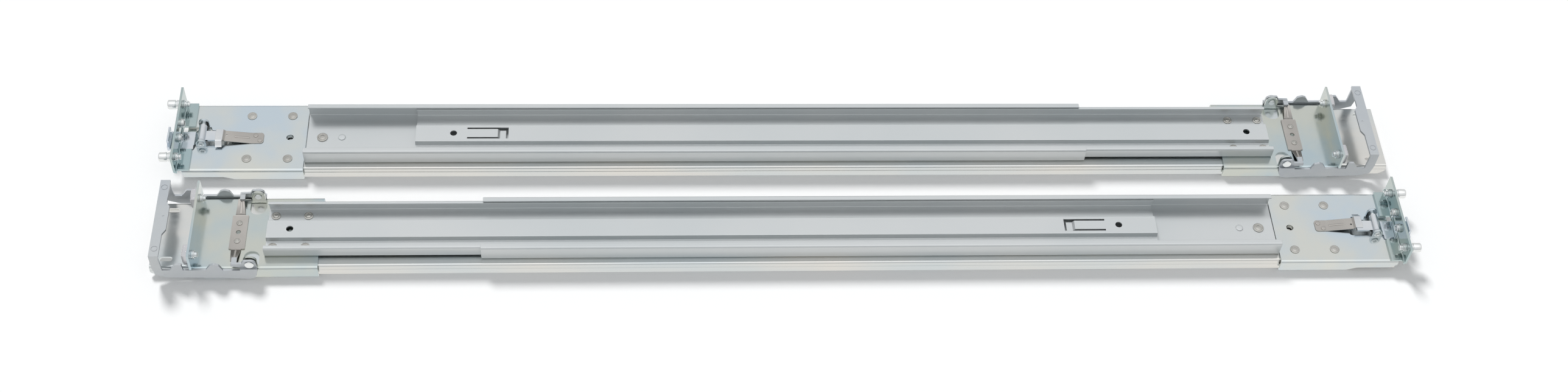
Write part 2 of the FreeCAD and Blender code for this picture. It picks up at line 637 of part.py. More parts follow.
for i, (x, y) in enumerate(ext_spots):
    pieces += turned("ext_rivet%d" % i, "z", (x, y), [
        ("-rear_sheet", "thin + 0.1", "rivet_shank_r - 0.2"),
        ("thin", "thin + ext_rivet_head", "2.9")])
nodes["extension_rivets"] = fused("extension_rivets", pieces)

# ------------------------------------------------------------- rear bracket
# Rear bracket: a channel with its flange in one piece and an ear on each side.
rear = new_body("rear_bracket")
half = [
    ("bracket_half", "0", "bend_r"),
    ("bracket_half", "bracket_bottom"),
    ("bracket_half - rear_sheet", "bracket_bottom"),
    ("bracket_half - rear_sheet", "-rear_sheet"),
]
prism(rear, "rear_section", "YZ_Plane", "rear_start", "rear_end - rear_start",
      both_halves(half))
prism(rear, "rear_flange", "YZ_Plane", "rear_end - sheet", "sheet", [
    ("-rear_flange_half", "rear_overhang"), ("-bracket_half + 0.4", "rear_overhang"),
    ("-bracket_half + 0.4", "-rear_sheet / 2"), ("bracket_half - 0.4", "-rear_sheet / 2"),
    ("bracket_half - 0.4", "rear_overhang"), ("rear_flange_half", "rear_overhang"),
    ("rear_flange_half", "flange_height"), ("-rear_flange_half", "flange_height")])
prism(rear, "rear_bend", "XZ_Plane", "bracket_half + 1", "2 * bracket_half + 2", [
    ("rear_end - 1.6", "-rear_sheet - 0.01"), ("rear_end + 1", "-rear_sheet - 0.01"),
    ("rear_end + 1", "0.2"), ("rear_end", "0.2")], True)
prism(rear, "rear_lower_edge", "XZ_Plane", "bracket_half + 1", "2 * bracket_half + 2", [
    ("rear_end + 1", "bracket_bottom - 1"), ("rear_end + 1", "-rear_sheet"),
    ("rear_end - 2.5", "-rear_sheet"), ("rear_end - 7", "bracket_bottom"),
    ("rear_end - 7", "bracket_bottom - 1")], True)
for side in SIDES:
    tag = "far" if side > 0 else "near"
    prism(rear, "rear_window_" + tag, "XY_Plane", "-rear_sheet - 0.5", "rear_sheet + 1", [
        ("728.6", "%d * 14.5" % side, "2.5"), ("738.4", "%d * 14.5" % side, "2.5"),
        ("738.4", "%d * gate_ear_low" % side), ("728.6", "%d * gate_ear_low" % side)], True)
    high = "gate_ear_high" if side > 0 else "-gate_ear_low"
    prism(rear, "rear_ear_" + tag, "XZ_Plane", high, "gate_ear_high - gate_ear_low", [
        ("gate_x - 4.2", "-rear_sheet / 2"), ("gate_x + 4.2", "-rear_sheet / 2"),
        ("gate_x + 4.2", "gate_z + 4.2", "4.1"), ("gate_x - 4.2", "gate_z + 4.2", "4.1")])
drill(rear, "rear_rivet_holes", "XY_Plane", "-rear_sheet - 0.5", "rear_sheet + 1",
      [(x, y, "rivet_shank_r - 0.2 + fit") for x, y in ext_spots]
      + [("gate_rivet_x", "%d * gate_rivet_y" % side, "1.2 + fit") for side in SIDES]
      + [("ext_hole_rear", "0", "ext_hole_r"), ("gate_rivet_x", "0", "1.5")])
drill(rear, "rear_screw_holes", "YZ_Plane", "rear_end - sheet - 1", "sheet + 2",
      [(y, "mount_z", "stub_r + fit") for y in peg_spots])
drill(rear, "rear_pin_holes", "XZ_Plane", "gate_ear_high + 0.2", "2 * gate_ear_high + 0.4",
      [("gate_x", "gate_z", "gate_pin_r + fit")])
nodes["rear_bracket"] = rear

# Square locating blocks behind the flange and the screws that hold them.
pieces = []
tools = []
for i, y in enumerate(peg_spots):
    block = doc.addObject("Part::Box", "block%d" % i)
    bind(block, "Length", "block_end - rear_end - 0.8")
    bind(block, "Width", "block_size")
    bind(block, "Height", "block_size")
    place(block, "rear_end", "%s - block_size / 2" % y, "mount_z - block_size / 2")
    nub = doc.addObject("Part::Wedge", "block_nub%d" % i)
    nub.Placement.Rotation = FreeCAD.Rotation(FreeCAD.Vector(0, 0, 1), -90)
    for field, text in (("Xmin", "0"), ("Xmax", "block_size"), ("Zmin", "0"),
                        ("Zmax", "block_size"), ("Ymin", "0"), ("Ymax", "0.8"),
                        ("X2min", "0.8"), ("X2max", "block_size - 0.8"),
                        ("Z2min", "0.8"), ("Z2max", "block_size - 0.8")):
        bind(nub, field, text)
    place(nub, "block_end - 0.8", "%s + block_size / 2" % y, "mount_z - block_size / 2")
    pieces += [block, nub]
    tools += turned("block_bore%d" % i, "x", (y, "mount_z"), [
        ("rear_end - 1", "block_end + 1", "stub_r + fit")])
nodes["square_blocks"] = fused("square_blocks", pieces, tools)
pieces = []
for i, y in enumerate(peg_spots):
    pieces += turned("block_screw%d" % i, "x", (y, "mount_z"), [
        ("rear_end - sheet - 3.7", "block_end - 0.3", "stub_r"),
        ("rear_end - sheet - 1.8", "rear_end - sheet", "2.95")])
nodes["block_screws"] = fused("block_screws", pieces)

# ---------------------------------------------------------------- rear gate
# Gate pins, one in each ear.
pieces = []
for side in SIDES:
    spans = [("gate_ear_low - 0.6", "gate_ear_low", "gate_pin_r + 0.7"),
             ("gate_ear_low - 0.1", "gate_inner + 0.1", "gate_pin_r"),
             ("gate_inner + 0.05", "gate_inner + 0.9", "2.9")]
    if side < 0:
        spans = [("-(%s)" % b, "-(%s)" % a, r) for a, b, r in spans]
    pieces += turned("gate_pin_%s" % "nf"[side > 0], "y", ("gate_x", "gate_z"), spans)
nodes["gate_pins"] = fused("gate_pins", pieces)

# Gate spring: a plate riveted down, with an arm to each side of the gate.
leaf = new_body("gate_spring")
half = [
    ("gate_spring_half", "0"),
    ("gate_spring_tip", "2.6"),
    ("gate_spring_tip", "2.6 + gate_spring_sheet"),
    ("gate_spring_half - 0.3", "gate_spring_sheet"),
]
prism(leaf, "gate_leaf_section", "YZ_Plane", "gate_spring_front",
      "gate_spring_rear - gate_spring_front", [
          ("-gate_spring_tip", "2.6"), ("-gate_spring_half", "0"),
          ("gate_spring_half", "0"), ("gate_spring_tip", "2.6"),
          ("gate_spring_tip", "2.6 + gate_spring_sheet"),
          ("gate_spring_half - 0.3", "gate_spring_sheet"),
          ("-gate_spring_half + 0.3", "gate_spring_sheet"),
          ("-gate_spring_tip", "2.6 + gate_spring_sheet")])
for side in SIDES:
    for x_edge, x_root, x_tip, tag in (
        ("gate_spring_front - 1", "740.6", "741.4", "f"),
        ("gate_spring_rear + 1", "746.9", "744.7", "r"),
    ):
        prism(leaf, "gate_leaf_trim_%s%s" % ("nf"[side > 0], tag), "XY_Plane", "-1", "6", [
            (x_edge, "%d * (gate_spring_half + 0.1)" % side),
            (x_root, "%d * (gate_spring_half + 0.1)" % side),
            (x_tip, "%d * (gate_spring_tip + 1)" % side),
            (x_edge, "%d * (gate_spring_tip + 1)" % side)], True)
drill(leaf, "gate_leaf_holes", "XY_Plane", "-0.5", "gate_spring_sheet + 1",
      [("gate_rivet_x", "%d * gate_rivet_y" % side, "1.2 + fit") for side in SIDES]
      + [("gate_rivet_x", "0", "1.5")])
nodes["gate_spring"] = leaf
pieces = []
for side in SIDES:
    pieces += turned("gate_rivet_%s" % "nf"[side > 0], "z",
                     ("gate_rivet_x", "%d * gate_rivet_y" % side), [
        ("-rear_sheet", "gate_spring_sheet + 0.1", "1.2"),
        ("gate_spring_sheet", "gate_spring_sheet + 0.5", "1.9")])
nodes["gate_spring_rivets"] = fused("gate_spring_rivets", pieces)

# Gate lever: two arms outside the bracket, joined by a bar behind the flange.
gate = new_body("gate_lever")
arm = [
    ("gate_x - 4.6", "1.7"), ("gate_x - 3.5", "-4.4"), ("gate_x - 1.8", "-7.4"),
    ("gate_x + 1.7", "-8.2"), ("gate_x + 16.7", "-7"), ("gate_x + 51.7", "-6.2"),
    ("gate_rear - 1.4", "-3.5"), ("gate_rear", "4"), ("gate_rear", "gate_bar_low + sheet"),
    ("gate_rear - 6.1", "gate_bar_low + sheet"), ("gate_rear - 5.5", "13"),
    ("gate_rear - 6", "1.3"), ("gate_rear - 10.8", "1.3"), ("gate_rear - 14.8", "7"),
    ("gate_rear - 18.6", "7"), ("gate_rear - 18.9", "1.2"), ("gate_x + 27.2", "1.2"),
    ("gate_x + 24.4", "5.6", "1.5"), ("gate_x + 21.7", "6.9", "1.5"),
    ("gate_x + 18.6", "5.6", "1.5"), ("gate_x + 16.7", "0.6"), ("gate_x + 6", "0.6"),
    ("gate_x + 6", "1.7"),
]
cheek = [
    ("gate_x - 4.3", "0.9"), ("gate_x + 1", "0.9"), ("gate_x + 11.7", "2.9"),
    ("gate_x + 11.7", "5.2", "1"), ("gate_x + 5", "5.6"),
    ("gate_x + 3.7", "gate_z + 3.3", "2.2"), ("gate_x - 3.7", "gate_z + 3.3", "2.8"),
]
for side in SIDES:
    tag = "far" if side > 0 else "near"
    high = "gate_inner + sheet" if side > 0 else "-gate_inner"
    prism(gate, "gate_arm_" + tag, "XZ_Plane", high, "sheet", arm)
    high = "gate_inner" if side > 0 else "-gate_inner + sheet"
    prism(gate, "gate_cheek_" + tag, "XZ_Plane", high, "sheet", cheek)
    high = "gate_inner + 0.7" if side > 0 else "-gate_inner + 0.7"
    prism(gate, "gate_joggle_" + tag, "XZ_Plane", high, "1.4",
          box_corners("gate_x - 4", "gate_x + 1", "0.95", "1.6"))
    low = "gate_spring_tip - 1.6" if side > 0 else "-gate_inner + 0.3"
    prism(gate, "gate_tab_" + tag, "YZ_Plane", "gate_x + 8.2", "3.2", [
        (low, "2.7 + gate_spring_sheet"),
        ("(%s) + gate_inner - 0.3 - gate_spring_tip + 1.6" % low, "2.7 + gate_spring_sheet"),
        ("(%s) + gate_inner - 0.3 - gate_spring_tip + 1.6" % low, "5.1"),
        (low, "5.1")])
prism(gate, "gate_bar", "XY_Plane", "gate_bar_low", "sheet", [
    ("gate_rear", "-gate_inner - sheet + 0.2", "1.2"), ("gate_rear", "gate_inner + sheet - 0.2", "1.2"),
    ("gate_rear - 6.1", "gate_inner + sheet - 0.2"), ("gate_rear - 6.1", "12.5"),
    ("gate_rear - 8.2", "8.8"), ("gate_rear - 8.2", "-9.2"), ("gate_rear - 6.1", "-12.9"),
    ("gate_rear - 6.1", "-gate_inner - sheet + 0.2")])
drill(gate, "gate_bores", "XZ_Plane", "gate_inner + sheet + 1", "2 * gate_inner + 2 * sheet + 2",
      [("gate_x", "gate_z", "gate_pin_r + running_fit")])
nodes["gate_lever"] = gate

# ------------------------------------------------------- both rails together
# The second rail is the first one mirrored; its extension stands a little
# further out.
REAR_GROUP = ("extension_channel", "extension_rivets", "rear_bracket", "square_blocks",
              "block_screws", "gate_pins", "gate_spring", "gate_spring_rivets", "gate_lever")
finished = {}
for name, thing in nodes.items():
    thing.Label = "right_" + name
    finished["right_" + name] = thing
for name, thing in hook_nodes["right"].items():
    thing.Label = "right_" + name
    finished["right_" + name] = thing
    thing = hook_nodes["left"][name]
    thing.Label = "blank_" + name
for name in list(nodes) + list(hook_nodes["left"]):
    mirror = doc.addObject("Part::Mirroring", "left_" + name)
    mirror.Source = nodes[name] if name in nodes else hook_nodes["left"][name]
    mirror.Normal = FreeCAD.Vector(1, 0, 0)
    mirror.Base = FreeCAD.Vector(0, 0, 0)
    bind(mirror, "Placement.Base.y", "-2 * rail_offset")
    if name in REAR_GROUP:
        bind(mirror, "Placement.Base.x", "-rear_shift")
    mirror.Label = "left_" + name
    finished["left_" + name] = mirror

doc.recompute()
for thing in doc.Objects:
    bad = [word for word in thing.State if word in ("Invalid", "Error")]
    if bad:
        raise RuntimeError("%s did not build: %s" % (thing.Name, bad))
for thing in doc.Objects:
    if thing.TypeId in ("PartDesign::Pad", "PartDesign::Pocket"):
        base = thing.BaseFeature
        if base is not None:
            change = thing.Shape.Volume - base.Shape.Volume
            if (thing.TypeId == "PartDesign::Pocket") != (change < 0):
                raise RuntimeError("%s changed nothing" % thing.Name)

os.makedirs("parts", exist_ok=True)
for name, thing in finished.items():
    shape = thing.Shape
    if shape.isNull() or not shape.isValid() or not shape.Solids:
        raise RuntimeError("%s has no sound solid" % name)
    shape.exportStep("parts/%s.step" % name)
    print("%-32s solids %d  %s" % (name, len(shape.Solids), shape.BoundBox))
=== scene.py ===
import bpy
import bmesh
import math
from mathutils import Matrix, Vector


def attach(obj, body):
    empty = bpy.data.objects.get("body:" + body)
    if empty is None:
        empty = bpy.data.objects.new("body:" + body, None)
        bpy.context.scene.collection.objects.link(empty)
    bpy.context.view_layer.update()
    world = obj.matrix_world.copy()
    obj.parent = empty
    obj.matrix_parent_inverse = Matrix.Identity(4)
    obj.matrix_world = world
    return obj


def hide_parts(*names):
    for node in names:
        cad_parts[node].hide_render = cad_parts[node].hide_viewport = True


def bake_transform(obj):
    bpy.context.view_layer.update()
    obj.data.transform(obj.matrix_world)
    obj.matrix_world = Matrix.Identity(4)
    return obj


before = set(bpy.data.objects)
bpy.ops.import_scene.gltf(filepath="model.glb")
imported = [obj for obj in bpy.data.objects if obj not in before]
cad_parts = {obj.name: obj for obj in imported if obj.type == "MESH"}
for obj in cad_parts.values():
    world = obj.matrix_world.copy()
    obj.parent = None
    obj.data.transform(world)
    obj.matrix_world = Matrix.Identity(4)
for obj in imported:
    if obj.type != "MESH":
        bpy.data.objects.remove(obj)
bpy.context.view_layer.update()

# ---------------------------------------------------------------- studio
# The rails lie on a plain white table.  One broad window lamp stands behind and
# above them, and the plated steel mirrors an even sky that is brightest overhead.
# The camera stands in front and above.

scene = bpy.context.scene
scene.view_settings.view_transform = "Standard"

azimuth = math.radians(-6.5501)
height_angle = math.radians(52.068)
roll = math.radians(-4.9517)
camera_place = (-0.100573, -0.850591, 1.093324)
window_slant = (0.38, -0.85, -1)
window_strength = 2.25
window_width = math.radians(15)
along = Vector((math.cos(azimuth), math.sin(azimuth), 0))
level = Vector((-math.sin(azimuth), math.cos(azimuth), 0))
sight = level * math.cos(height_angle) - Vector((0, 0, math.sin(height_angle)))
upright = level * math.sin(height_angle) + Vector((0, 0, math.cos(height_angle)))
camera_x = along * math.cos(roll) - upright * math.sin(roll)
camera_y = along * math.sin(roll) + upright * math.cos(roll)
turn = Matrix((camera_x, camera_y, -sight)).transposed().to_4x4()
bpy.ops.object.camera_add(location=(0, 0, 0))
camera = bpy.context.object
camera.name = "studio_camera"
camera.matrix_world = Matrix.Translation(camera_place) @ turn
camera.data.lens = 48.14
camera.data.sensor_width = 36.0
camera.data.sensor_fit = "HORIZONTAL"
camera.data.clip_start = 0.02
camera.data.clip_end = 20.0
scene.camera = camera

bpy.ops.object.light_add(type="SUN", location=(0, 0, 1))
lamp = bpy.context.object
lamp.name = "lamp_window"
lamp.data.energy = window_strength
lamp.data.angle = window_width
lamp.visible_glossy = False
lamp.rotation_euler = Vector(window_slant).to_track_quat("-Z", "Y").to_euler()

world = bpy.data.worlds.new("studio_air")
scene.world = world
world.use_nodes = True
tree = world.node_tree
tree.nodes.clear()
sky_out = tree.nodes.new("ShaderNodeOutputWorld")
sky_light = tree.nodes.new("ShaderNodeBackground")
sky_seen = tree.nodes.new("ShaderNodeBackground")
sky_mix = tree.nodes.new("ShaderNodeMixShader")
sky_path = tree.nodes.new("ShaderNodeLightPath")
sky_place = tree.nodes.new("ShaderNodeTexCoord")
sky_split = tree.nodes.new("ShaderNodeSeparateXYZ")
sky_ramp = tree.nodes.new("ShaderNodeValToRGB")
sky_ramp.color_ramp.elements[0].position = 0.0
sky_ramp.color_ramp.elements[0].color = (0.50, 0.52, 0.54, 1)
sky_ramp.color_ramp.elements[1].position = 0.97
sky_ramp.color_ramp.elements[1].color = (1.25, 1.25, 1.25, 1)
for height, tone in ((0.35, 0.70), (0.62, 0.82), (0.84, 0.90), (0.93, 1.25)):
    stop = sky_ramp.color_ramp.elements.new(height)
    stop.color = (tone, tone * 1.01, tone * 1.02, 1)
tree.links.new(sky_place.outputs["Generated"], sky_split.inputs[0])
tree.links.new(sky_split.outputs["Z"], sky_ramp.inputs[0])
tree.links.new(sky_ramp.outputs[0], sky_light.inputs["Color"])
sky_soft = tree.nodes.new("ShaderNodeBackground")
sky_soft.inputs["Color"].default_value = (0.97, 0.99, 1.0, 1)
sky_soft.inputs["Strength"].default_value = 0.5
sky_air = tree.nodes.new("ShaderNodeMixShader")
sky_bounce = tree.nodes.new("ShaderNodeMath")
sky_bounce.operation = "MAXIMUM"
tree.links.new(sky_path.outputs["Is Glossy Ray"], sky_bounce.inputs[0])
tree.links.new(sky_path.outputs["Is Transmission Ray"], sky_bounce.inputs[1])
tree.links.new(sky_bounce.outputs[0], sky_air.inputs[0])
tree.links.new(sky_soft.outputs[0], sky_air.inputs[1])
tree.links.new(sky_light.outputs[0], sky_air.inputs[2])
sky_seen.inputs["Color"].default_value = (1, 1, 1, 1)
sky_seen.inputs["Strength"].default_value = 1.0
tree.links.new(sky_path.outputs["Is Camera Ray"], sky_mix.inputs[0])
tree.links.new(sky_air.outputs[0], sky_mix.inputs[1])
tree.links.new(sky_seen.outputs[0], sky_mix.inputs[2])
tree.links.new(sky_mix.outputs[0], sky_out.inputs[0])

bpy.ops.object.select_all(action="DESELECT")
bpy.ops.mesh.primitive_plane_add(size=8, location=(0, 0.5, 0))
table = bpy.context.object
table.name = "studio_table"
bpy.ops.object.transform_apply(location=True, rotation=True, scale=True)
white = bpy.data.materials.new("studio_white")
white.use_nodes = True
tree = white.node_tree
tree.nodes.clear()
floor_out = tree.nodes.new("ShaderNodeOutputMaterial")
floor_matt = tree.nodes.new("ShaderNodeBsdfDiffuse")
floor_glow = tree.nodes.new("ShaderNodeEmission")
floor_add = tree.nodes.new("ShaderNodeAddShader")
floor_mix = tree.nodes.new("ShaderNodeMixShader")
floor_path = tree.nodes.new("ShaderNodeLightPath")
floor_matt.inputs["Color"].default_value = (0.985, 0.985, 0.985, 1)
floor_glow.inputs["Color"].default_value = (1, 1, 1, 1)
floor_glow.inputs["Strength"].default_value = 0.015
floor_shine = tree.nodes.new("ShaderNodeEmission")
floor_shine.inputs["Color"].default_value = (0.97, 0.97, 0.96, 1)
floor_shine.inputs["Strength"].default_value = 1.0
tree.links.new(floor_matt.outputs[0], floor_add.inputs[0])
tree.links.new(floor_glow.outputs[0], floor_add.inputs[1])
floor_bounce = tree.nodes.new("ShaderNodeMath")
floor_bounce.operation = "MAXIMUM"
tree.links.new(floor_path.outputs["Is Glossy Ray"], floor_bounce.inputs[0])
tree.links.new(floor_path.outputs["Is Transmission Ray"], floor_bounce.inputs[1])
tree.links.new(floor_bounce.outputs[0], floor_mix.inputs[0])
tree.links.new(floor_add.outputs[0], floor_mix.inputs[1])
tree.links.new(floor_shine.outputs[0], floor_mix.inputs[2])
tree.links.new(floor_mix.outputs[0], floor_out.inputs[0])
table.data.materials.append(white)

# ------------------------------------------------- slide members, both rails
# Outer, middle and inner members: roll-formed strip, zinc plated bright, with
# a faint straw cast.  Rolling leaves fine lines along the strip, and every
# cut edge is slightly rounded by tumbling.

HANDS = (("right", 1), ("left", -1))


def plated(name, cool, warm, metal=1.0, rough=0.2, spread=0.05, patch=9.0,
           lines=60.0, grain=0.02, stretch=(1, 1, 1), along=0.04):
    """Plated steel: slow colour drift, rolled lines and a varying polish."""
    skin = bpy.data.materials.new(name)
    skin.use_nodes = True
    tree = skin.node_tree
    body = tree.nodes["Principled BSDF"]
    body.inputs["Metallic"].default_value = metal
    place = tree.nodes.new("ShaderNodeTexCoord")
    drift = tree.nodes.new("ShaderNodeMapping")
    drift.inputs["Scale"].default_value = stretch
    clouds = tree.nodes.new("ShaderNodeTexNoise")
    clouds.inputs["Scale"].default_value = patch
    clouds.inputs["Detail"].default_value = 3.0
    cast = tree.nodes.new("ShaderNodeValToRGB")
    cast.color_ramp.elements[0].position = 0.36
    cast.color_ramp.elements[0].color = (*cool, 1)
    cast.color_ramp.elements[1].position = 0.64
    cast.color_ramp.elements[1].color = (*warm, 1)
    strip = tree.nodes.new("ShaderNodeMapping")
    strip.inputs["Scale"].default_value = (lines * along, lines, lines)
    streaks = tree.nodes.new("ShaderNodeTexNoise")
    streaks.inputs["Scale"].default_value = 12.0
    streaks.inputs["Detail"].default_value = 4.0
    polish = tree.nodes.new("ShaderNodeMapRange")
    polish.inputs["From Min"].default_value = 0.3
    polish.inputs["From Max"].default_value = 0.7
    polish.inputs["To Min"].default_value = rough - spread
    polish.inputs["To Max"].default_value = rough + spread
    bumps = tree.nodes.new("ShaderNodeBump")
    bumps.inputs["Strength"].default_value = grain
    bumps.inputs["Distance"].default_value = 0.0002
    link = tree.links.new
    link(place.outputs["Object"], drift.inputs["Vector"])
    link(drift.outputs["Vector"], clouds.inputs["Vector"])
    link(clouds.outputs["Fac"], cast.inputs["Fac"])
    link(cast.outputs["Color"], body.inputs["Base Color"])
    link(place.outputs["Object"], strip.inputs["Vector"])
    link(strip.outputs["Vector"], streaks.inputs["Vector"])
    link(streaks.outputs["Fac"], polish.inputs["Value"])
    link(polish.outputs["Result"], body.inputs["Roughness"])
    link(streaks.outputs["Fac"], bumps.inputs["Height"])
    link(bumps.outputs["Normal"], body.inputs["Normal"])
    return skin


def on_rail(side, x, y, z, rear=False):
    """A place given in millimetres along, across and above one rail."""
    if side > 0:
        return Vector((x - 398.455, y + 39.225, z + 9.5)) / 1000
    return Vector((398.455 - (7.73 if rear else 0) - x, y - 39.225, z + 9.5)) / 1000


def pick(piece, wanted, mode="EDGE"):
    """In edit mode, selects the edges or faces that a rule asks for."""
    bpy.ops.mesh.select_mode(type=mode)
    bpy.ops.mesh.select_all(action="DESELECT")
    shape = bmesh.from_edit_mesh(piece.data)
    parts = {"VERT": shape.verts, "EDGE": shape.edges, "FACE": shape.faces}[mode]
    for part in parts:
        if wanted(part):
            part.select_set(True)
    shape.select_flush_mode()
    bmesh.update_edit_mesh(piece.data)


def cad_copy(node, name):
    """A copy of a CAD solid with its loose triangles merged into flat faces."""
    bpy.ops.object.select_all(action="DESELECT")
    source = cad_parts[node]
    piece = source.copy()
    piece.data = source.data.copy()
    piece.name = name
    piece.parent = None
    piece.matrix_world = Matrix.Identity(4)
    scene.collection.objects.link(piece)
    piece.hide_render = False
    piece.hide_viewport = False
    piece.select_set(True)
    bpy.context.view_layer.objects.active = piece
    bpy.ops.object.mode_set(mode="EDIT")
    bpy.ops.mesh.select_all(action="SELECT")
    bpy.ops.mesh.remove_doubles(threshold=0.000002)
    bpy.ops.mesh.dissolve_limited(angle_limit=math.radians(0.6))
    bpy.ops.object.mode_set(mode="OBJECT")
    piece.data.materials.clear()
    return piece


def eased(piece, edge=0.0002, angle=30):
    """Smooth bends, flat faces and lightly rounded cut edges."""
    bpy.ops.object.select_all(action="DESELECT")
    piece.select_set(True)
    bpy.context.view_layer.objects.active = piece
    bpy.ops.object.shade_smooth_by_angle(angle=math.radians(35))
    if edge:
        ease = piece.modifiers.new("eased_edges", "BEVEL")
        ease.width = edge
        ease.segments = 2
        ease.limit_method = "ANGLE"
        ease.angle_limit = math.radians(angle)
        ease.use_clamp_overlap = True
        bpy.ops.object.modifier_apply(modifier=ease.name)
        flats = piece.modifiers.new("flat_faces", "WEIGHTED_NORMAL")
        flats.mode = "FACE_AREA"
        flats.weight = 100
        flats.keep_sharp = True
        bpy.ops.object.modifier_apply(modifier=flats.name)


def fitted(piece, node, body, material):
    """Puts the finish on a piece and sets it in place of its CAD solid."""
    piece.data.materials.clear()
    piece.data.materials.append(material)
    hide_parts(node)
    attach(piece, body)
    return piece


MM = 0.001


def turned(name, steps, sides=32, hollow=False):
    """A turned piece: a disc pulled up through each (height, radius) in turn."""
    height, radius = steps[0]
    bpy.ops.object.select_all(action="DESELECT")
    bpy.ops.mesh.primitive_circle_add(vertices=sides, radius=radius * MM,
                                      fill_type="NOTHING" if hollow else "NGON",
                                      location=(0, 0, height * MM))
    bpy.ops.object.transform_apply(location=True, rotation=True, scale=True)
    piece = bpy.context.object
    piece.name = name
    bpy.ops.object.mode_set(mode="EDIT")
    bpy.ops.mesh.select_all(action="SELECT")
    for next_height, next_radius in steps[1:]:
        rise = {"value": (0, 0, (next_height - height) * MM)}
        if hollow:
            bpy.ops.mesh.extrude_edges_move(TRANSFORM_OT_translate=rise)
        else:
            bpy.ops.mesh.extrude_region_move(TRANSFORM_OT_translate=rise)
        grow = next_radius / radius
        bpy.ops.transform.resize(value=(grow, grow, 1),
                                 center_override=(0, 0, next_height * MM))
        height, radius = next_height, next_radius
    bpy.ops.mesh.select_all(action="SELECT")
    bpy.ops.mesh.remove_doubles(threshold=0.000002)
    bpy.ops.mesh.normals_make_consistent(inside=False)
    bpy.ops.object.mode_set(mode="OBJECT")
    bpy.ops.object.shade_smooth_by_angle(angle=math.radians(35))
    return piece


def discard(piece):
    bpy.data.objects.remove(piece, do_unlink=True)


def cut_out(piece, tool):
    """Cuts a hole or groove with a turned tool."""
    cut = piece.modifiers.new("cut_out", "BOOLEAN")
    cut.object = tool
    cut.operation = "DIFFERENCE"
    bpy.context.view_layer.objects.active = piece
    bpy.ops.object.modifier_apply(modifier=cut.name)
    discard(tool)


TOOL_HOLE_X = 70.1
TOOL_HOLE_RADIUS = 2.2
rail_steel = plated("rail_zinc", (0.65, 0.69, 0.70), (0.75, 0.73, 0.69), rough=0.22,
                    patch=14.0, lines=40.0, grain=0.01, stretch=(0.6, 2, 2), spread=0.03)
for hand, side in HANDS:
    for member, body in (("outer_member", "rails_fixed"),
                         ("middle_member", hand + "_middle_slide"),
                         ("inner_member", hand + "_inner_slide")):
        strip = cad_copy(hand + "_" + member, hand + "_" + member + "_strip")
        if member == "outer_member":
            hole = turned("tool_hole", [(-4.0, TOOL_HOLE_RADIUS), (1.0, TOOL_HOLE_RADIUS)])
            hole.data.transform(Matrix.Translation(on_rail(side, TOOL_HOLE_X, 0, 0)))
            cut_out(strip, hole)
        eased(strip, 0.00018)
        fitted(strip, hand + "_" + member, body, rail_steel)

# ---------------------------------------------- ball cages and balls
# Inside each slide: hard polished balls in spring-steel cages that roll half as
# far as the member they carry.

cage_steel = plated("cage_strip", (0.55, 0.56, 0.56), (0.62, 0.61, 0.58), rough=0.3)
ball_steel = plated("ball_polish", (0.72, 0.72, 0.73), (0.76, 0.76, 0.76), rough=0.08,
                    spread=0.03)
for hand, side in HANDS:
    for node, skin in (("outer_ball_cage", cage_steel), ("inner_ball_cage", cage_steel),
                       ("outer_balls", ball_steel), ("inner_balls", ball_steel)):
        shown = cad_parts[hand + "_" + node]
        shown.data.materials.clear()
        shown.data.materials.append(skin)

# ------------------------------------------------------------ front bracket
# Front bracket: folded from bright plated sheet, near enough to a mirror to
# show the ears and the hook in it, with blue and straw tints in the plating.

bracket_steel = plated("bracket_zinc", (0.59, 0.67, 0.73), (0.69, 0.70, 0.66), rough=0.17,
                       spread=0.03, patch=26.0, lines=14.0, grain=0.02, along=0.6)
for hand, side in HANDS:
    sheet = cad_copy(hand + "_front_bracket", hand + "_front_bracket_sheet")
    eased(sheet, 0.0002)
    fitted(sheet, hand + "_front_bracket", "rails_fixed", bracket_steel)

# -------------------------------------------------------------- front flange
# Front flange: a separate angle of the same sheet, more mirror-like still,
# laid on the bracket by its foot.  Its base colour is set darker and greener
# than the bracket's: painted shade for the dark surroundings that the upright
# flange mirrors.

# Darker, greener base colour: painted shade on the flange.
flange_painted_shade = plated("flange_zinc_painted_shade", (0.40, 0.51, 0.53), (0.49, 0.55, 0.53), rough=0.10,
                      spread=0.03, patch=30.0, lines=14.0, grain=0.01, along=0.6)
for hand, side in HANDS:
    angle_sheet = cad_copy(hand + "_front_angle", hand + "_front_angle_sheet")
    eased(angle_sheet, 0.00025)
    fitted(angle_sheet, hand + "_front_angle", "rails_fixed", flange_painted_shade)

# ---------------------------------------------------------- locating pegs
# Two pegs on each flange, 44.45 mm apart, turned from bar and bright plated: a
# rounded body, a neck and a collar in front, and behind the sheet a swaged
# ring in two beads and the threaded end.

def joined(pieces, name):
    """Joins pieces into the first of them."""
    bpy.ops.object.select_all(action="DESELECT")
    for one in pieces:
        one.select_set(True)
    bpy.context.view_layer.objects.active = pieces[0]
    bpy.ops.object.join()
    pieces[0].name = name
    return pieces[0]


def repeated(pattern, name, spots):
    """Copies a finished pattern to each (place, direction) and joins the copies."""
    copies = []
    for place, ahead in spots:
        one = bpy.data.objects.new(name, pattern.data.copy())
        scene.collection.objects.link(one)
        turn = Vector(ahead).to_track_quat("Z", "Y").to_matrix().to_4x4()
        one.data.transform(Matrix.Translation(place) @ turn)
        copies.append(one)
    return joined(copies, name)


